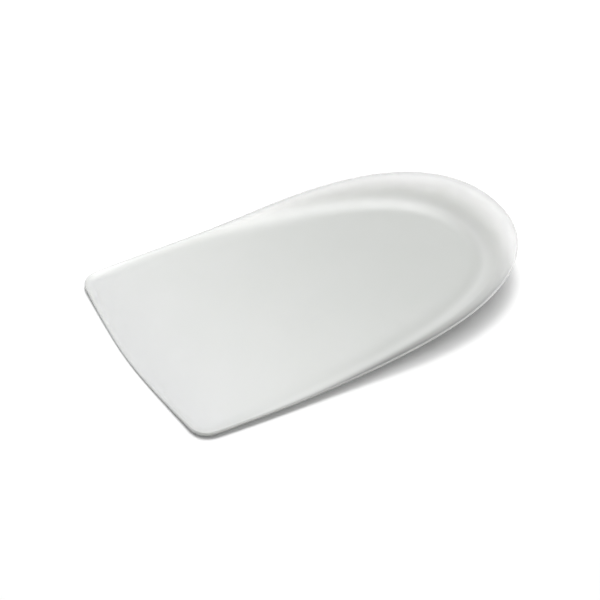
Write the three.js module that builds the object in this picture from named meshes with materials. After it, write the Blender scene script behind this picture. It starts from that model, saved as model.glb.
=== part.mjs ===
// A heel cup: one moulded piece of soft frosted silicone that lies in a shoe under the heel.
// It is a thin pad with a blunt front edge and a round heel. A low wall rises round the heel
// and fades out along the sides, so the top is a shallow dish and the underside a small flat
// base with a flared outer wall above it.
// X runs from the front edge to the heel, Y across, Z up. The origin is under the middle of
// the piece, on the surface it lies on. Millimetres.

import * as THREE from 'three';
import { LoftGeometry } from 'three/addons/geometries/LoftGeometry.js';

// Plan view
const LENGTH = 102.4; // middle of the front edge to the tip of the heel
const WIDTH = 66.6; // across the widest place
const FRONT_WIDTH = 64.6; // between the two front corners, before they are rounded
const WIDEST_AT = 41.4; // from the front edge
const FRONT_BOW = 2.4; // how far the middle of the front edge stands ahead of its corners
const CORNER_CUT = 4.6; // taken off each edge where a front corner is rounded

// Heights and thicknesses
const HEEL_RIM_HEIGHT = 9.6; // top of the rim at the tip of the heel
const FRONT_RIM_HEIGHT = 1.6; // top of the rim at the front corners
const HEEL_PAD_THICKNESS = 2.6; // pad under the heel
const FRONT_PAD_THICKNESS = 0.85; // pad at the middle of the front edge
const EDGE_THICKNESS = 0.6; // rounded edge of the rim

// Horizontal reach of the walls at the heel
const WALL_RUN = 12.5; // inner wall and its fillet, from the rim in to the pad
const BASE_INSET = 9.2; // flat base, in from the rim

// Forms without a size of their own
const SIDE_POWER = 3.3; // how late the side turns from the front corner to the widest place
const HEEL_POWER = 3.08; // fullness of the heel along the piece
const HEEL_SQUARENESS = 2.13; // fullness of the heel across the piece
const BEND_SOFTNESS = 0.35; // of the bend in the middle of the front edge
const FRONT_DIP_POWER = 1.5; // how the rim sinks from a front corner to the middle
const LIFT_KNEE = 0.5; // share of the length where the rim's curve turns to a straight climb
const CORNER_RUN_SHARE = 0.45; // reach of the wall at a front corner, of the rounding there
const WALL_POWER = 2.6; // how softly the inner wall runs out into the pad
const WALL_FULLNESS = 0.75; // how long the inner wall keeps its slope below the rim
const OUTER_POWER = 2; // how softly the outer wall runs out into the base
const INSET_POWER = 1.2; // how slowly the base draws in behind the front edge

// Facets
const SIDE_STEPS = 44;
const FRONT_STEPS = 18;
const CORNER_STEPS = 5;
const WALL_STEPS = 8;
const OUTER_STEPS = 5;
const PAD_SHARES = [0, 0.35, 0.7]; // rings of the pad, from its middle line to the wall
const EDGE_ANGLES = [90, 60, 30, 0, -45, -90]; // rings round the rim's edge, in degrees

const { clamp, lerp, degToRad } = THREE.MathUtils;

const SIDE_START = FRONT_BOW + CORNER_CUT;

// Half of the width at a distance from the front: a late curve out to the widest place,
// then a full round heel.
function halfWidth(x) {
  if (x < WIDEST_AT) {
    const toGo = clamp((WIDEST_AT - x) / (WIDEST_AT - FRONT_BOW), 0, 1);
    return lerp(WIDTH, FRONT_WIDTH, toGo ** SIDE_POWER) / 2;
  }
  const along = clamp((x - WIDEST_AT) / (LENGTH - WIDEST_AT), 0, 1);
  return WIDTH / 2 * (1 - along ** HEEL_POWER) ** (1 / HEEL_SQUARENESS);
}

// The front edge is two nearly straight halves with a soft bend between them.
function frontEdge(across) {
  const bend = (share) => Math.hypot(share, BEND_SOFTNESS);
  const rise = (bend(across) - bend(0)) / (bend(1) - bend(0));
  return FRONT_BOW * rise;
}

class SideCurve extends THREE.Curve {
  constructor(side) {
    super();
    this.side = side;
  }

  getPoint(t, target = new THREE.Vector2()) {
    const swing = Math.sin(t * Math.PI / 2) ** (2 / HEEL_POWER);
    const x = lerp(SIDE_START, LENGTH, swing);
    return target.set(x, this.side * halfWidth(x));
  }
}

class FrontCurve extends THREE.Curve {
  getPoint(t, target = new THREE.Vector2()) {
    const half = FRONT_WIDTH / 2;
    const y = lerp(-1, 1, t) * (half - CORNER_CUT);
    return target.set(frontEdge(Math.abs(y) / half), y);
  }
}

// The outline seen from above, counterclockwise from the right front corner round the heel.
function outline() {
  const right = new SideCurve(-1).getSpacedPoints(SIDE_STEPS);
  const left = new SideCurve(1).getSpacedPoints(SIDE_STEPS).reverse();
  const front = new FrontCurve().getSpacedPoints(FRONT_STEPS).reverse();
  const corner = (from, to, side) => new THREE.QuadraticBezierCurve(
    from, new THREE.Vector2(FRONT_BOW, side * FRONT_WIDTH / 2), to,
  ).getPoints(CORNER_STEPS);
  const leftCorner = corner(left.at(-1), front[0], 1);
  const rightCorner = corner(front.at(-1), right[0], -1);
  return [
    ...right.slice(0, -1),
    ...left.slice(0, -1),
    ...leftCorner.slice(0, -1),
    ...front.slice(0, -1),
    ...rightCorner.slice(0, -1),
  ];
}

// Unit vectors in the plan that point inwards, square to the outline.
function inwardVectors(points) {
  return points.map((_, index) => {
    const next = points[(index + 1) % points.length];
    const before = points.at(index - 1);
    return new THREE.Vector2(before.y - next.y, next.x - before.x).normalize();
  });
}

function shareOfLength(x) {
  return clamp(x / LENGTH, 0, 1);
}

// The rim climbs as a cube of the length up to the knee and as a straight line from there.
function sideRimHeight(x) {
  const along = shareOfLength(x);
  const steepness = 1 / (LIFT_KNEE * (3 - 2 * LIFT_KNEE));
  const lift = along < LIFT_KNEE
    ? steepness * along ** 3 / LIFT_KNEE
    : steepness * LIFT_KNEE * (3 * along - 2 * LIFT_KNEE);
  return lerp(FRONT_RIM_HEIGHT, HEEL_RIM_HEIGHT, lift);
}

// Grows from the front edge to the heel as a quarter of a sine does.
function swingOfLength(x) {
  return Math.sin(shareOfLength(x) * Math.PI / 2);
}

function padThickness(x) {
  return lerp(FRONT_PAD_THICKNESS, HEEL_PAD_THICKNESS, swingOfLength(x));
}

// Along the front edge the rim sinks to the pad from both corners.
function rimHeight(point) {
  const across = clamp(Math.abs(point.y) / (FRONT_WIDTH / 2), 0, 1);
  const kept = point.x < SIDE_START ? across ** FRONT_DIP_POWER : 1;
  return lerp(padThickness(point.x), sideRimHeight(point.x), kept);
}

function wallRun(x) {
  return lerp(CORNER_CUT * CORNER_RUN_SHARE, WALL_RUN, swingOfLength(x));
}

function baseInset(x) {
  return BASE_INSET * swingOfLength(x) ** INSET_POWER;
}

// Height left on the inner wall at a share of its run: steep below the rim, level at the pad.
function wallShape(share) {
  return (1 - share) ** WALL_POWER * (1 + WALL_FULLNESS * share);
}

// The nearest point of the pad's middle line, where every section starts.
function spinePoint(point) {
  return new THREE.Vector2(clamp(point.x, FRONT_WIDTH / 2, LENGTH - WIDTH / 2), 0);
}

// The piece at one point of the outline: from the middle of the pad over the rim's edge and
// down the outer wall to the base, as points of one section in space.
function section(rim, inward) {
  const inside = (inset) => rim.clone().addScaledVector(inward, inset);
  const raised = (point, height) => new THREE.Vector3(point.x - LENGTH / 2, point.y, height);
  const run = wallRun(rim.x);
  const rise = rimHeight(rim) - padThickness(rim.x);
  const onWall = (inset) => {
    const point = inside(inset);
    return raised(point, padThickness(point.x) + rise * wallShape(inset / run));
  };

  const wallFoot = inside(run);
  const spine = spinePoint(wallFoot);
  const pad = PAD_SHARES.map((share) => {
    const point = spine.clone().lerp(wallFoot, share);
    return raised(point, padThickness(point.x));
  });

  const halfEdge = EDGE_THICKNESS / 2;
  const wall = Array.from({ length: WALL_STEPS }, (_, step) => (
    onWall(lerp(run, halfEdge, step / WALL_STEPS))
  ));

  const edgeMiddle = onWall(halfEdge).z - halfEdge;
  const inset = baseInset(rim.x);
  const underReach = Math.min(halfEdge, inset / 2);
  const edge = EDGE_ANGLES.map((degrees) => {
    const angle = degToRad(degrees);
    const edgeReach = degrees < 0 ? underReach : halfEdge;
    const point = inside(edgeReach * (1 - Math.cos(angle)));
    return raised(point, edgeMiddle + halfEdge * Math.sin(angle));
  });

  const outer = Array.from({ length: OUTER_STEPS }, (_, step) => {
    const share = (step + 1) / OUTER_STEPS;
    const height = (edgeMiddle - halfEdge) * (1 - share) ** OUTER_POWER;
    return raised(inside(lerp(underReach, inset, share)), height);
  });
  return [...pad, ...wall, ...edge, ...outer];
}

function heelCupGeometry() {
  const rim = outline();
  const inward = inwardVectors(rim);
  const sections = rim.map((point, index) => section(point, inward[index]));
  const rings = sections[0].map((_, ring) => sections.map((points) => points[ring]));
  return new LoftGeometry(rings.map((ring) => ring.reverse()), { capEnd: true });
}

function frostedSilicone() {
  return new THREE.MeshStandardMaterial({ color: 0xdfe2de, roughness: 0.4, metalness: 0 });
}

const heelCup = new THREE.Mesh(heelCupGeometry(), frostedSilicone());
heelCup.name = 'heel_cup';

const model = new THREE.Group();
model.add(heelCup);

export default model;
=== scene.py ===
"""A moulded heel cup of milky silicone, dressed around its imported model.

The cup is one soft piece. Its surface is a function of two parameters: the place round the
outline and the place across the section, from the middle of the pad over the rim to the base.
"""
import logging
import math
from dataclasses import dataclass
from enum import Enum

import bmesh
import bpy
import numpy as np
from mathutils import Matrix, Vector


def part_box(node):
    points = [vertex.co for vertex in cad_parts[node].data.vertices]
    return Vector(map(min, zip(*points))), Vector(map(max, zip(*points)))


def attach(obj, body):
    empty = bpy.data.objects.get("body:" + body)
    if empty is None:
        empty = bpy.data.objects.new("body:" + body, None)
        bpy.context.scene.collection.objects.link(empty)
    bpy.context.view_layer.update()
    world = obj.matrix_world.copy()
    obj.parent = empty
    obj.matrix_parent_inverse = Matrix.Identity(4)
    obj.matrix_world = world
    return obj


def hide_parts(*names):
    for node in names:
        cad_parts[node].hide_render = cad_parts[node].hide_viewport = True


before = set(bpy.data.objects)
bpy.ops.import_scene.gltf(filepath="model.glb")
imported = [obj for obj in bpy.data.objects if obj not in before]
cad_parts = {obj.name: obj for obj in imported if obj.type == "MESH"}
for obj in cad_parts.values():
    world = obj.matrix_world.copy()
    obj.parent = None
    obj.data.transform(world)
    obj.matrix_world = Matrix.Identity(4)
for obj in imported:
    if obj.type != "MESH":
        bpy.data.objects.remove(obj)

Array = np.ndarray
Band = tuple[Array, Array, Array]
Colour = tuple[float, float, float]
Inset = Array | float
Socket = bpy.types.NodeSocket
Shade = tuple[float, float, float, float] | Socket
Span = tuple[float, float]
Stops = tuple[tuple[float, Colour], ...]
Value = float | Socket
LOG = logging.getLogger("heel_cup")
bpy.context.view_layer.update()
MM = 0.001
MERGE_DISTANCE = 0.002 * MM


def mix(low: Array | float, high: Array | float, share: Array | float) -> Array | float:
    """Value that lies at a share of the way from low to high."""
    return low + (high - low) * share


def opaque(colour: Colour) -> tuple[float, float, float, float]:
    """The colour in the form that a colour socket takes."""
    return (*colour, 1.0)


def direction(azimuth: float, elevation: float) -> Vector:
    """Unit vector at an azimuth from +X towards +Y and an elevation, both in degrees."""
    around, up = math.radians(azimuth), math.radians(elevation)
    level = math.cos(up)
    return Vector((math.cos(around) * level, math.sin(around) * level, math.sin(up)))


def evenly_spaced(points: Array, count: int) -> Array:
    """Points at equal steps along a polyline.

    Args:
        points: The polyline, one row for each point.
        count: How many points to return, both ends included.

    Returns:
        An array of count rows. Each coordinate is interpolated over the length walked.
    """
    steps = np.linalg.norm(np.diff(points, axis=0), axis=1)
    walked = np.concatenate([[0.0], np.cumsum(steps)])
    wanted = np.linspace(0.0, walked[-1], count)
    return np.stack([np.interp(wanted, walked, axis) for axis in points.T], axis=1)


@dataclass(frozen=True)
class Outline:
    """The cup's outline seen from above, with x counted from the front edge to the heel."""

    length: float
    width: float
    front_width: float = 64.6 * MM
    widest_at: float = 41.4 * MM
    front_bow: float = 2.4 * MM
    corner_cut: float = 4.6 * MM
    side_power: float = 3.3
    heel_power: float = 3.08
    heel_squareness: float = 2.13
    bend_softness: float = 0.35
    side_points: int = 260
    samples_per_point: int = 8
    front_points: int = 120
    corner_points: int = 24

    @property
    def side_start(self) -> float:
        """Where the side leaves the rounded front corner."""
        return self.front_bow + self.corner_cut

    def half_width(self, x: Array) -> Array:
        """Half of the width at each distance from the front.

        The side is a power curve from the front corner out to the widest place, and the heel
        is a quarter of a superellipse from there to its tip.

        Args:
            x: Distances from the front edge.

        Returns:
            The half widths.
        """
        to_go = np.clip((self.widest_at - x) / (self.widest_at - self.front_bow), 0.0, 1.0)
        side = mix(self.width, self.front_width, to_go**self.side_power) / 2
        along = np.clip((x - self.widest_at) / (self.length - self.widest_at), 0.0, 1.0)
        fullness = (1 - along**self.heel_power) ** (1 / self.heel_squareness)
        return np.where(x < self.widest_at, side, self.width / 2 * fullness)

    def side(self) -> Array:
        """The left side, from the front corner to the tip of the heel.

        The distance from the front follows a power of a sine, which crowds the samples
        towards the tip, and the points are then spaced evenly along them.

        Returns:
            One row for each point.
        """
        samples = self.samples_per_point * self.side_points
        swing = np.sin(np.linspace(0.0, math.pi / 2, samples))
        x = mix(self.side_start, self.length, swing ** (2 / self.heel_power))
        return evenly_spaced(np.stack([x, self.half_width(x)], axis=1), self.side_points)

    def front(self) -> Array:
        """The front edge from left to right: two straight halves with a soft bend between.

        The edge follows a hyperbola, the root of the square of the share across plus the
        square of the softness.

        Returns:
            One row for each point.
        """
        half = self.front_width / 2
        y = np.linspace(half - self.corner_cut, self.corner_cut - half, self.front_points)
        bend = np.hypot(y / half, self.bend_softness) - self.bend_softness
        full = math.hypot(1.0, self.bend_softness) - self.bend_softness
        return np.stack([self.front_bow * bend / full, y], axis=1)

    def corner(self, start: Array, end: Array) -> Array:
        """A rounded front corner: a quadratic curve that the sharp corner pulls out.

        Args:
            start: Where the rounding begins.
            end: Where it ends.

        Returns:
            The points between, both ends left out.
        """
        sharp = np.array([self.front_bow, math.copysign(self.front_width / 2, start[1])])
        t = np.linspace(0.0, 1.0, self.corner_points)[1:-1, None]
        return (1 - t) ** 2 * start + 2 * t * (1 - t) * sharp + t**2 * end

    def points(self) -> Array:
        """The closed outline, counterclockwise from the right front corner.

        Returns:
            One row for each point.
        """
        left = self.side()
        right = left * (1.0, -1.0)
        front = self.front()
        return np.concatenate([
            right,
            left[-2::-1],
            self.corner(left[0], front[0]),
            front,
            self.corner(front[-1], right[0]),
        ])


def inward_vectors(points: Array) -> Array:
    """Unit vectors that point into a closed counterclockwise outline, square to it.

    Args:
        points: The outline, one row for each point.

    Returns:
        One row for each point: its neighbours' difference, turned a quarter to the left.
    """
    along = np.roll(points, -1, axis=0) - np.roll(points, 1, axis=0)
    inward = np.stack([-along[:, 1], along[:, 0]], axis=1)
    return inward / np.linalg.norm(inward, axis=1, keepdims=True)


def closed_mesh(name: str, grid: Array, values: dict[str, Array]) -> bpy.types.Mesh:
    """A smooth mesh from a grid of points that closes on itself along its rings.

    Args:
        name: The mesh's name.
        grid: Points as rings by places round a ring by three.
        values: Named numbers for each point, as rings by places.

    Returns:
        The mesh, with the points that fall together merged and faces that point out.
    """
    rings, places, _ = grid.shape
    ring, place = np.meshgrid(np.arange(rings - 1), np.arange(places), indexing="ij")
    beside = (place + 1) % places
    corners = [
        ring * places + place,
        (ring + 1) * places + place,
        (ring + 1) * places + beside,
        ring * places + beside,
    ]
    faces = np.stack(corners, axis=-1).reshape(-1, 4)
    mesh = bpy.data.meshes.new(name)
    mesh.from_pydata(grid.reshape(-1, 3).tolist(), [], faces.tolist())
    for label, numbers in values.items():
        attribute = mesh.attributes.new(label, "FLOAT", "POINT")
        attribute.data.foreach_set("value", numbers.astype(np.float32).ravel())
    shape = bmesh.new()
    shape.from_mesh(mesh)
    bmesh.ops.remove_doubles(shape, verts=shape.verts, dist=MERGE_DISTANCE)
    bmesh.ops.recalc_face_normals(shape, faces=shape.faces)
    shape.to_mesh(mesh)
    shape.free()
    mesh.shade_smooth()
    return mesh


class Blend(Enum):
    """How two colours are mixed."""

    MIX = "MIX"
    MULTIPLY = "MULTIPLY"


class Operation(Enum):
    """How one number is made of two."""

    PRODUCT = "MULTIPLY"
    LARGER = "MAXIMUM"


class ColourMix:
    """Numbers of a Mix node's sockets that belong to colours."""

    FACTOR = 0
    LOW = 6
    HIGH = 7
    RESULT = 2


class Nodes:
    """A short way to write a material's node tree."""

    def __init__(self, name: str) -> None:
        """Start an empty material with that name."""
        self.material = bpy.data.materials.new(name)
        self.material.use_nodes = True
        self.tree = self.material.node_tree
        self.tree.nodes.clear()

    def add(self, kind: str, inputs: dict | None = None, **settings: object) -> bpy.types.Node:
        """Add a node.

        Args:
            kind: The node's type without its ShaderNode prefix.
            inputs: Input sockets by name or number: a value, or the socket to link from.
            settings: The node's own properties.

        Returns:
            The new node.
        """
        node = self.tree.nodes.new("ShaderNode" + kind)
        for key, value in settings.items():
            setattr(node, key, value)
        for key, value in (inputs or {}).items():
            if isinstance(value, Socket):
                self.tree.links.new(value, node.inputs[key])
            else:
                node.inputs[key].default_value = value
        return node

    def place(self) -> Socket:
        """Object coordinates."""
        return self.add("TexCoord").outputs["Object"]

    def attribute(self, name: str) -> Socket:
        """The number that the mesh holds under that name."""
        return self.add("Attribute", attribute_name=name).outputs["Fac"]

    def work_out(self, operation: Operation, first: Value, second: Value) -> Socket:
        """One number made of two."""
        node = self.add("Math", {0: first, 1: second}, operation=operation.value)
        return node.outputs["Value"]

    def blend(self, factor: Value, low: Shade, high: Shade, how: Blend = Blend.MIX) -> Socket:
        """Colour that goes from low to its mix with high.

        Args:
            factor: How much of the mix there is, from 0 to 1.
            low: The first colour.
            high: The second colour.
            how: The kind of mix.

        Returns:
            The colour's socket.
        """
        inputs = {ColourMix.FACTOR: factor, ColourMix.LOW: low, ColourMix.HIGH: high}
        mixed = self.add("Mix", inputs, data_type="RGBA", blend_type=how.value)
        return mixed.outputs[ColourMix.RESULT]

    def ramp(self, value: Socket, stops: Stops) -> Socket:
        """Colour that runs through stops as a value grows.

        Args:
            value: The driving socket.
            stops: Pairs of a value and the colour there, in order.

        Returns:
            The colour's socket.
        """
        first, last = stops[0][0], stops[-1][0]
        share = self.add("MapRange", {"Value": value, "From Min": first, "From Max": last})
        ramp = self.add("ValToRGB", {"Fac": share.outputs["Result"]})
        elements = ramp.color_ramp.elements
        # A new element stands half way until the loop below gives it its place.
        while len(elements) < len(stops):
            elements.new(0.5)
        for element, (at, colour) in zip(elements, stops):
            element.position = (at - first) / (last - first)
            element.color = opaque(colour)
        return ramp.outputs["Color"]

    def soft_step(self, name: str, span: Span, low: Value = 0.0, high: Value = 1.0) -> Socket:
        """A value that goes smoothly from low to high while an attribute crosses a span.

        Args:
            name: The mesh attribute's name.
            span: Where the step begins and where it ends.
            low: The value up to the beginning.
            high: The value from the end on.

        Returns:
            The value's socket.
        """
        return self.add("MapRange", {
            "Value": self.attribute(name),
            "From Min": span[0],
            "From Max": span[1],
            "To Min": low,
            "To Max": high,
        }, interpolation_type="SMOOTHSTEP").outputs["Result"]

    def noise(self, place: Socket, size: float, detail: float) -> Socket:
        """Soft noise whose features are about as large as size, from 0 to 1."""
        source = self.add("TexNoise", {"Vector": place, "Scale": 1 / size, "Detail": detail})
        return source.outputs["Fac"]

    def finish(self, surface: Socket) -> bpy.types.Material:
        """Link the surface to the output and return the material."""
        self.add("OutputMaterial", {"Surface": surface})
        return self.material


@dataclass(frozen=True)
class MilkySilicone:
    """Translucent silicone with a milky haze: the thin pad stays white, the thick one is grey.

    Sizes are in metres. What is compared with an attribute of the mesh is in millimetres:
    wall_mm is the thickness, risen_mm the upper skin's height above the pad's, and free_mm the
    lower skin's height off the floor. The attribute edge is a mask of painted shade: 1 at the
    rim line, fading to 0. The colour also holds a painted highlight at the wall's foot and a
    painted glow on the lip, as if lit through from behind.
    Each stop of shades pairs a thickness with a colour, and thin_wall and thick_wall pair a
    thickness with the opacity of a wall that hangs free.
    """

    shades: Stops = (
        (0.80, (0.83, 0.845, 0.825)),
        (1.60, (0.70, 0.71, 0.695)),
        (2.60, (0.565, 0.575, 0.56)),
    )
    haze_size: float = 14 * MM
    haze_detail: float = 3.0
    haze_colour: Colour = (0.955, 0.965, 0.955)
    peel_size: float = 2.2 * MM
    peel_detail: float = 1.0
    peel_depth: float = 0.004 * MM
    grain_size: float = 0.25 * MM
    grain_detail: float = 2.0
    grain_depth: float = 0.0015 * MM
    sheen_size: float = 7 * MM
    sheen_detail: float = 2.0
    smooth_roughness: float = 0.31
    dull_roughness: float = 0.38
    ior: float = 1.41
    subsurface: float = 1.0
    scatter: float = 3.0 * MM
    scatter_tint: Colour = (1.0, 1.0, 0.95)
    # Painted highlight at the foot of the wall.
    foot_highlight_colour: Colour = (0.67, 0.675, 0.665)
    # Painted glow on the lip, as if lit through from behind.
    lip_glow_colour: Colour = (0.91, 0.91, 0.905)
    free_mm: Span = (0.2, 2.4)
    foot_highlight_mm: Span = (0.02, 0.9)
    lip_glow_mm: Span = (1.2, 5.5)
    thin_wall: tuple[float, float] = (0.7, 0.3)
    thick_wall: tuple[float, float] = (2.4, 0.85)
    # Painted shade: a darker line along the rim's edge.
    rim_shade_colour: Colour = (0.55, 0.555, 0.545)
    free_rim_shade_share: float = 0.35
    edge_cover: float = 0.55

    def material(self) -> bpy.types.Material:
        """The finish as a material, from the mesh's attributes and noise on the object.

        Returns:
            The material.
        """
        nodes = Nodes("milky_silicone")
        place = nodes.place()
        surface = nodes.add("BsdfPrincipled", {
            "Base Color": self.body_colour(nodes, place),
            "Roughness": self.sheen(nodes, place),
            "Normal": self.moulded_skin(nodes, place),
            "IOR": self.ior,
            "Alpha": self.cover(nodes),
            "Subsurface Weight": self.subsurface,
            "Subsurface Radius": self.scatter_tint,
            "Subsurface Scale": self.scatter,
        })
        return nodes.finish(surface.outputs["BSDF"])

    def body_colour(self, nodes: Nodes, place: Socket) -> Socket:
        """Grey by the pad's thickness, with painted light at foot and lip, painted shade on the
        rim line, and a faint haze.

        The painted rim shade is strongest where the edge rests on the floor.

        Args:
            nodes: The material so far.
            place: Object coordinates.

        Returns:
            The colour's socket.
        """
        body = nodes.ramp(nodes.attribute("wall_mm"), self.shades)
        # Painted highlight: the wall's foot is lightened where the fillet would catch the light.
        at_foot_highlight = nodes.soft_step("risen_mm", self.foot_highlight_mm)
        body = nodes.blend(at_foot_highlight, body, opaque(self.foot_highlight_colour))
        # Painted glow: the lip is whitened as if light came through it from behind.
        at_lip_glow = nodes.soft_step("risen_mm", self.lip_glow_mm)
        body = nodes.blend(at_lip_glow, body, opaque(self.lip_glow_colour))
        # Painted shade: the rim line darkens most where the edge rests on the floor.
        strength = nodes.soft_step("free_mm", self.free_mm, 1.0, self.free_rim_shade_share)
        rim_shade_share = nodes.work_out(Operation.PRODUCT, nodes.attribute("edge"), strength)
        body = nodes.blend(rim_shade_share, body, opaque(self.rim_shade_colour))
        haze = nodes.noise(place, self.haze_size, self.haze_detail)
        return nodes.blend(haze, body, opaque(self.haze_colour), Blend.MULTIPLY)

    def sheen(self, nodes: Nodes, place: Socket) -> Socket:
        """Roughness that drifts a little over the skin.

        Args:
            nodes: The material so far.
            place: Object coordinates.

        Returns:
            The roughness socket.
        """
        return nodes.add("MapRange", {
            "Value": nodes.noise(place, self.sheen_size, self.sheen_detail),
            "To Min": self.smooth_roughness,
            "To Max": self.dull_roughness,
        }).outputs["Result"]

    def cover(self, nodes: Nodes) -> Socket:
        """Opacity: whole where the cup lies on the floor, less in a thin wall that hangs free.

        The rim's rounded edge is seen end on, so it never falls below a cover of its own, which
        follows the painted rim shade mask.

        Args:
            nodes: The material so far.

        Returns:
            The alpha socket.
        """
        (thin, least), (thick, most) = self.thin_wall, self.thick_wall
        free_cover = nodes.add("MapRange", {
            "Value": nodes.attribute("wall_mm"),
            "From Min": thin,
            "From Max": thick,
            "To Min": least,
            "To Max": most,
        }).outputs["Result"]
        skin = nodes.soft_step("free_mm", self.free_mm, 1.0, free_cover)
        # The painted rim shade mask also keeps the rim line opaque.
        edge = nodes.work_out(Operation.PRODUCT, nodes.attribute("edge"), self.edge_cover)
        return nodes.work_out(Operation.LARGER, skin, edge)

    def moulded_skin(self, nodes: Nodes, place: Socket) -> Socket:
        """The mould's skin: a faint orange peel with a fine grain on it.

        Args:
            nodes: The material so far.
            place: Object coordinates.

        Returns:
            The normal socket.
        """
        peel = nodes.add("Bump", {
            "Height": nodes.noise(place, self.peel_size, self.peel_detail),
            "Distance": self.peel_depth,
        })
        grain = nodes.add("Bump", {
            "Height": nodes.noise(place, self.grain_size, self.grain_detail),
            "Distance": self.grain_depth,
            "Normal": peel.outputs["Normal"],
        })
        return grain.outputs["Normal"]


@dataclass(frozen=True)
class Section:
    """The cup's section at every place round the outline at once.

    An inset is a distance in from the rim: one number, or an array of rings by places.
    """

    cup: "HeelCup"
    rim: Array
    inward: Array
    slope_step: float = 0.05 * MM

    @property
    def half_edge(self) -> float:
        """Radius of the rim's rounded edge."""
        return self.cup.edge / 2

    @property
    def foot(self) -> Array:
        """Inset of the inner wall's foot."""
        return self.cup.inner_reach(self.rim[:, 0])

    @property
    def base(self) -> Array:
        """Inset of the flat base."""
        return self.cup.outer_reach(self.rim[:, 0])

    @property
    def tuck(self) -> Array:
        """Inset where the outer wall leaves the edge, which is less where the base is near."""
        return np.minimum(self.half_edge, self.base / 2)

    @property
    def edge_middle(self) -> Array:
        """Height of the middle of the rounded edge."""
        return self.top(self.half_edge) - self.half_edge

    def pad(self, inset: Inset) -> Array:
        """Thickness of the pad at insets from the rim."""
        return self.cup.pad_thickness(self.rim[:, 0] + self.inward[:, 0] * inset)

    def risen(self, inset: Inset) -> Array:
        """Height of the upper skin above the pad's: the rim's rise times the wall's shape."""
        rise = self.cup.rim_height(self.rim) - self.pad(0.0)
        return rise * self.cup.wall_shape(inset / self.foot)

    def top(self, inset: Inset) -> Array:
        """Height of the upper skin."""
        return self.pad(inset) + self.risen(inset)

    def under(self, inset: Inset) -> Array:
        """Height of the lower skin: a power curve from the edge down to the flat base.

        Args:
            inset: Distances in from the rim.

        Returns:
            The heights.
        """
        share = np.clip((inset - self.tuck) / (self.base - self.tuck), 0.0, 1.0)
        return (self.edge_middle - self.half_edge) * (1 - share) ** self.cup.outer_power

    def across(self, inset: Inset) -> Array:
        """Thickness square to the wall: the upright thickness times the cosine of the slope.

        Args:
            inset: Distances in from the rim.

        Returns:
            The thickness at each place, at least the edge's.
        """
        slope = (self.top(inset + self.slope_step) - self.top(inset)) / self.slope_step
        upright = self.top(inset) - self.under(inset)
        return np.maximum(upright / np.hypot(1.0, slope), self.cup.edge)

    def points(self, inset: Array, height: Array) -> Array:
        """Points in space at insets from the rim, with the origin under the cup's middle.

        Args:
            inset: Distances in from the rim, as rings by places.
            height: Heights, in the same form.

        Returns:
            Rings by places by three.
        """
        plan = self.rim + self.inward * inset[..., None]
        middle = np.array([self.cup.outline.length / 2, 0.0])
        return np.concatenate([plan - middle, height[..., None]], axis=-1)


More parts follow.
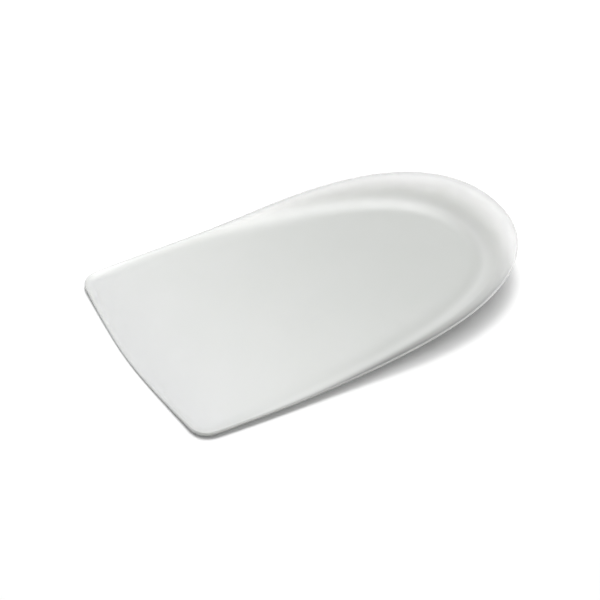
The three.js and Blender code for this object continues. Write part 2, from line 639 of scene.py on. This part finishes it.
@dataclass
class HeelCup:
    """The cup: a pad with a low flared wall that fades out along its sides."""

    outline: Outline
    rim_top: float
    front_rim: float = 1.6 * MM
    heel_pad: float = 2.6 * MM
    front_pad: float = 0.85 * MM
    edge: float = 0.6 * MM
    wall_run: float = 12.5 * MM
    base_inset: float = 9.2 * MM
    front_dip_power: float = 1.5
    lift_knee: float = 0.5
    corner_run_share: float = 0.45
    wall_power: float = 2.6
    lip_flare: float = 0.75
    inset_power: float = 1.2
    outer_power: float = 2.0
    # These shape the mask of painted shade along the rim's edge.
    rim_shade_fade: float = 0.35 * MM
    rim_shade_top_share: float = 0.6
    rim_shade_turn: float = math.radians(45)
    tall_rim_shade_power: float = 4.0
    pad_rings: int = 24
    wall_rings: int = 36
    edge_rings: int = 14
    outer_rings: int = 28
    base_rings: int = 8
    finish: MilkySilicone = MilkySilicone()

    @classmethod
    def from_node(cls, node: str) -> "HeelCup":
        """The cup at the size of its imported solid.

        The solid's top is the wall's shape at the middle of the rounded edge, so the rim's own
        height is worked back from it.

        Args:
            node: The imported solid's name.

        Returns:
            A cup with the solid's length, width and height.
        """
        low, high = (Vector(corner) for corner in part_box(node))
        length, width, height = high - low
        cup = cls(Outline(length, width), height)
        kept = float(cup.wall_shape(np.array(cup.edge / 2 / cup.wall_run)))
        cup.rim_top = cup.heel_pad + (height - cup.heel_pad) / kept
        return cup

    def along(self, x: Array) -> Array:
        """Share of the length at each distance from the front."""
        return np.clip(x / self.outline.length, 0.0, 1.0)

    def swing(self, x: Array) -> Array:
        """A quarter of a sine, from 0 at the front edge to 1 at the heel."""
        return np.sin(self.along(x) * math.pi / 2)

    def side_rim_height(self, x: Array) -> Array:
        """Height of the rim along the sides and the heel.

        It climbs as a cube of the length up to the knee and as a straight line from there.

        Args:
            x: Distances from the front edge.

        Returns:
            The heights.
        """
        along = self.along(x)
        knee = self.lift_knee
        curve = along**3 / knee
        line = knee * (3 * along - 2 * knee)
        lift = np.where(along < knee, curve, line) / (knee * (3 - 2 * knee))
        return mix(self.front_rim, self.rim_top, lift)

    def pad_thickness(self, x: Array) -> Array:
        """Thickness of the pad: it grows with the swing from the front edge to the heel."""
        return mix(self.front_pad, self.heel_pad, self.swing(x))

    def rim_height(self, rim: Array) -> Array:
        """Height of the rim: along the front edge it sinks from the corners to the pad.

        Args:
            rim: Points of the outline.

        Returns:
            The heights.
        """
        x, y = rim.T
        across = np.clip(np.abs(y) / (self.outline.front_width / 2), 0.0, 1.0)
        kept = np.where(x < self.outline.side_start, across**self.front_dip_power, 1.0)
        return mix(self.pad_thickness(x), self.side_rim_height(x), kept)

    def inner_reach(self, x: Array) -> Array:
        """How far the inner wall reaches in from the rim: it grows with the swing."""
        corner = self.outline.corner_cut * self.corner_run_share
        return mix(corner, self.wall_run, self.swing(x))

    def outer_reach(self, x: Array) -> Array:
        """How far the base lies in from the rim: it grows with a power of the swing."""
        return self.base_inset * self.swing(x) ** self.inset_power

    def wall_shape(self, share: Array) -> Array:
        """Height left on the inner wall at a share of its run: a power curve that ends level."""
        q = np.clip(share, 0.0, 1.0)
        return (1 - q) ** self.wall_power * (1 + self.lip_flare * q)

    def inner_wall(self, section: Section) -> Band:
        """Rings up the inner wall, from its foot to the top of the rim.

        The painted rim shade fades down the wall as an exponential.

        Args:
            section: The cup's section round the outline.

        Returns:
            The rings' insets, heights and painted rim shade.
        """
        steps = np.linspace(0.0, 1.0, self.wall_rings)[:, None]
        inset = mix(section.foot, section.half_edge, steps)
        rim_shade = self.rim_shade_top_share * np.exp((section.half_edge - inset) / self.rim_shade_fade)
        return inset, section.top(inset), rim_shade

    def rounded_edge(self, section: Section) -> Band:
        """Rings over the rim's edge: a half circle from its top round to the outer wall.

        The painted rim shade grows evenly over the first part of the turn.

        Args:
            section: The cup's section round the outline.

        Returns:
            The rings' insets, heights and painted rim shade, without the two end rings.
        """
        angle = np.linspace(math.pi / 2, -math.pi / 2, self.edge_rings)[1:-1, None]
        reach = np.where(angle < 0, section.tuck, section.half_edge)
        inset = reach * (1 - np.cos(angle))
        height = section.edge_middle + section.half_edge * np.sin(angle)
        turned = np.clip((math.pi / 2 - angle) / self.rim_shade_turn, 0.0, 1.0)
        rim_shade = mix(self.rim_shade_top_share, 1.0, turned)
        return inset, height, np.broadcast_to(rim_shade, inset.shape)

    def outer_wall(self, section: Section) -> Band:
        """Rings down the outer wall, from the edge to the base.

        The painted rim shade fades down the wall as an exponential.

        Args:
            section: The cup's section round the outline.

        Returns:
            The rings' insets, heights and painted rim shade.
        """
        steps = np.linspace(0.0, 1.0, self.outer_rings)[:, None]
        inset = mix(section.tuck, section.base, steps)
        rim_shade = np.exp((section.tuck - inset) / self.rim_shade_fade)
        return inset, section.under(inset), rim_shade

    def surface(self) -> tuple[Array, dict[str, Array]]:
        """The whole skin as rings, with the numbers that its finish reads.

        The first parameter runs round the outline and the second across the section: from the
        pad's middle line out to the foot of the wall, up the wall to the rim, over the edge's
        half circle, down the outer wall, and back along the base. The painted rim shade dies away
        with a power of the rim's height where the front edge sinks to the pad.

        Returns:
            The points as rings by places by three, and named numbers for them.
        """
        rim = self.outline.points()
        section = Section(self, rim, inward_vectors(rim))
        bands = self.inner_wall(section), self.rounded_edge(section), self.outer_wall(section)
        inset, height, rim_shade = (np.concatenate(part) for part in zip(*bands))
        wall = section.points(inset, height)
        pad, pad_thickness = self.spread(wall[0], self.pad_rings)
        base, base_thickness = self.spread(wall[-1], self.base_rings)
        base[..., 2] = 0.0
        none, flat = 0 * pad_thickness, 0 * base_thickness
        # Painted shade: the rim line's mask, weakened where the front edge sinks low.
        tall = np.minimum(self.rim_height(rim) / self.front_rim, 1.0) ** self.tall_rim_shade_power
        return np.concatenate([pad, wall, base[::-1]]), {
            "wall_mm": np.concatenate([pad_thickness, section.across(inset), base_thickness]) / MM,
            "free_mm": np.concatenate([none, section.under(inset), flat]) / MM,
            "risen_mm": np.concatenate([none, section.risen(inset), flat]) / MM,
            "edge": np.concatenate([none, rim_shade * tall, flat]),
        }

    def spread(self, foot: Array, rings: int) -> tuple[Array, Array]:
        """Rings that spread from the pad's middle line out to a ring of points.

        Args:
            foot: The outermost ring, which is left out.
            rings: How many rings to make.

        Returns:
            The rings, on the pad's upper skin, and the pad's thickness there.
        """
        front = (self.outline.front_width - self.outline.length) / 2
        heel = (self.outline.length - self.outline.width) / 2
        spine = np.stack([np.clip(foot[:, 0], front, heel), 0 * foot[:, 0]], axis=1)
        share = np.linspace(0.0, 1.0, rings, endpoint=False)[:, None, None]
        plan = mix(spine, foot[:, :2], share)
        thickness = self.pad_thickness(plan[..., 0] + self.outline.length / 2)
        return np.concatenate([plan, thickness[..., None]], axis=-1), thickness

    def build(self) -> bpy.types.Object:
        """Make the cup's mesh, dress it and put it in the scene.

        Returns:
            The cup's object, at the origin.
        """
        mesh = closed_mesh("heel_cup_skin", *self.surface())
        mesh.materials.append(self.finish.material())
        cup = bpy.data.objects.new("heel_cup_skin", mesh)
        bpy.context.scene.collection.objects.link(cup)
        return cup


class LightRole(Enum):
    """What each studio light is for."""

    REAR = "rear"
    TOP = "top"


@dataclass(frozen=True)
class SoftLight:
    """A square softbox that faces the middle of the stage."""

    role: LightRole
    azimuth: float
    elevation: float
    distance: float
    side: float
    power: float

    def build(self) -> bpy.types.Object:
        """Put the light at its azimuth, from +X towards +Y, and elevation.

        Returns:
            The light's object.
        """
        toward = direction(self.azimuth, self.elevation)
        data = bpy.data.lights.new(f"{self.role.value}_light", "AREA")
        data.shape = "SQUARE"
        data.size = self.side
        data.energy = self.power
        light = bpy.data.objects.new(data.name, data)
        light.location = toward * self.distance
        light.rotation_euler = toward.to_track_quat("Z", "Y").to_euler()
        bpy.context.scene.collection.objects.link(light)
        return light


@dataclass(frozen=True)
class PaleFloor:
    """A wide white sweep that the cup lies on."""

    half_side: float = 3.0
    colour: Colour = (0.93, 0.93, 0.93)
    mottle_colour: Colour = (0.99, 0.99, 0.99)
    mottle_size: float = 0.3
    mottle_detail: float = 1.0
    roughness: float = 0.9
    specular: float = 0.1

    def build(self) -> bpy.types.Object:
        """Make the floor.

        Returns:
            The floor's object.
        """
        s = self.half_side
        mesh = bpy.data.meshes.new("floor")
        mesh.from_pydata([(-s, -s, 0), (s, -s, 0), (s, s, 0), (-s, s, 0)], [], [(0, 1, 2, 3)])
        mesh.materials.append(self.material())
        floor = bpy.data.objects.new("floor", mesh)
        bpy.context.scene.collection.objects.link(floor)
        return floor

    def material(self) -> bpy.types.Material:
        """Matt white with a mottle too faint to read as a pattern.

        Returns:
            The material.
        """
        nodes = Nodes("floor_white")
        mottle = nodes.noise(nodes.place(), self.mottle_size, self.mottle_detail)
        surface = nodes.add("BsdfPrincipled", {
            "Base Color": nodes.blend(mottle, opaque(self.colour), opaque(self.mottle_colour)),
            "Roughness": self.roughness,
            "Specular IOR Level": self.specular,
        })
        return nodes.finish(surface.outputs["BSDF"])


@dataclass(frozen=True)
class Studio:
    """Floor, softboxes and an even pale surround."""

    surround_colour: Colour = (1.0, 1.0, 1.0)
    surround_strength: float = 0.36
    floor: PaleFloor = PaleFloor()
    lights: tuple[SoftLight, ...] = (
        SoftLight(LightRole.REAR, azimuth=54, elevation=62, distance=1.2, side=0.45, power=8.0),
        SoftLight(LightRole.TOP, azimuth=72, elevation=76, distance=1.2, side=0.45, power=4.4),
    )

    def build(self) -> list[bpy.types.Object]:
        """Make the surround, the floor and the lights.

        Returns:
            The floor's and the lights' objects.
        """
        world = bpy.data.worlds.new("surround")
        world.use_nodes = True
        background = world.node_tree.nodes["Background"]
        background.inputs["Color"].default_value = opaque(self.surround_colour)
        background.inputs["Strength"].default_value = self.surround_strength
        scene = bpy.context.scene
        scene.world = world
        scene.view_settings.view_transform = "Standard"
        return [self.floor.build(), *(light.build() for light in self.lights)]


@dataclass(frozen=True)
class PhotoCamera:
    """The photograph's camera: where it stands, what it looks at and how long its lens is.

    At azimuth 0 it stands on the -Y side and looks along +Y. Angles are in degrees.
    """

    azimuth: float = -29.61
    elevation: float = 39.11
    distance: float = 399.5 * MM
    target: tuple[float, float, float] = (-5.5 * MM, -0.25 * MM, 0.0)
    focal_pixels: float = 1653.6
    image_pixels: float = 600.0
    clip_share: float = 0.05

    def build(self) -> bpy.types.Object:
        """Put the camera on its line of sight, level with the horizon.

        Returns:
            The camera's object.
        """
        back = direction(self.azimuth - 90, self.elevation)
        data = bpy.data.cameras.new("photo_camera")
        data.lens = data.sensor_width * self.focal_pixels / self.image_pixels
        data.clip_start = self.distance * self.clip_share
        camera = bpy.data.objects.new("photo_camera", data)
        camera.location = Vector(self.target) + back * self.distance
        camera.rotation_euler = back.to_track_quat("Z", "Y").to_euler()
        bpy.context.scene.collection.objects.link(camera)
        bpy.context.scene.camera = camera
        return camera


def report(piece: bpy.types.Object) -> None:
    """Log a piece's name and how many faces it has."""
    faces = len(piece.data.polygons) if piece.type == "MESH" else 0
    LOG.info("%s: %d faces", piece.name, faces)


def main() -> None:
    """Build the camera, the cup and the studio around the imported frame."""
    report(PhotoCamera().build())
    cup = HeelCup.from_node("heel_cup").build()
    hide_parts("heel_cup")
    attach(cup, "root")
    report(cup)
    for piece in Studio().build():
        report(piece)


if __name__ == "__main__":
    logging.basicConfig(level=logging.INFO, format="%(message)s")
    main()
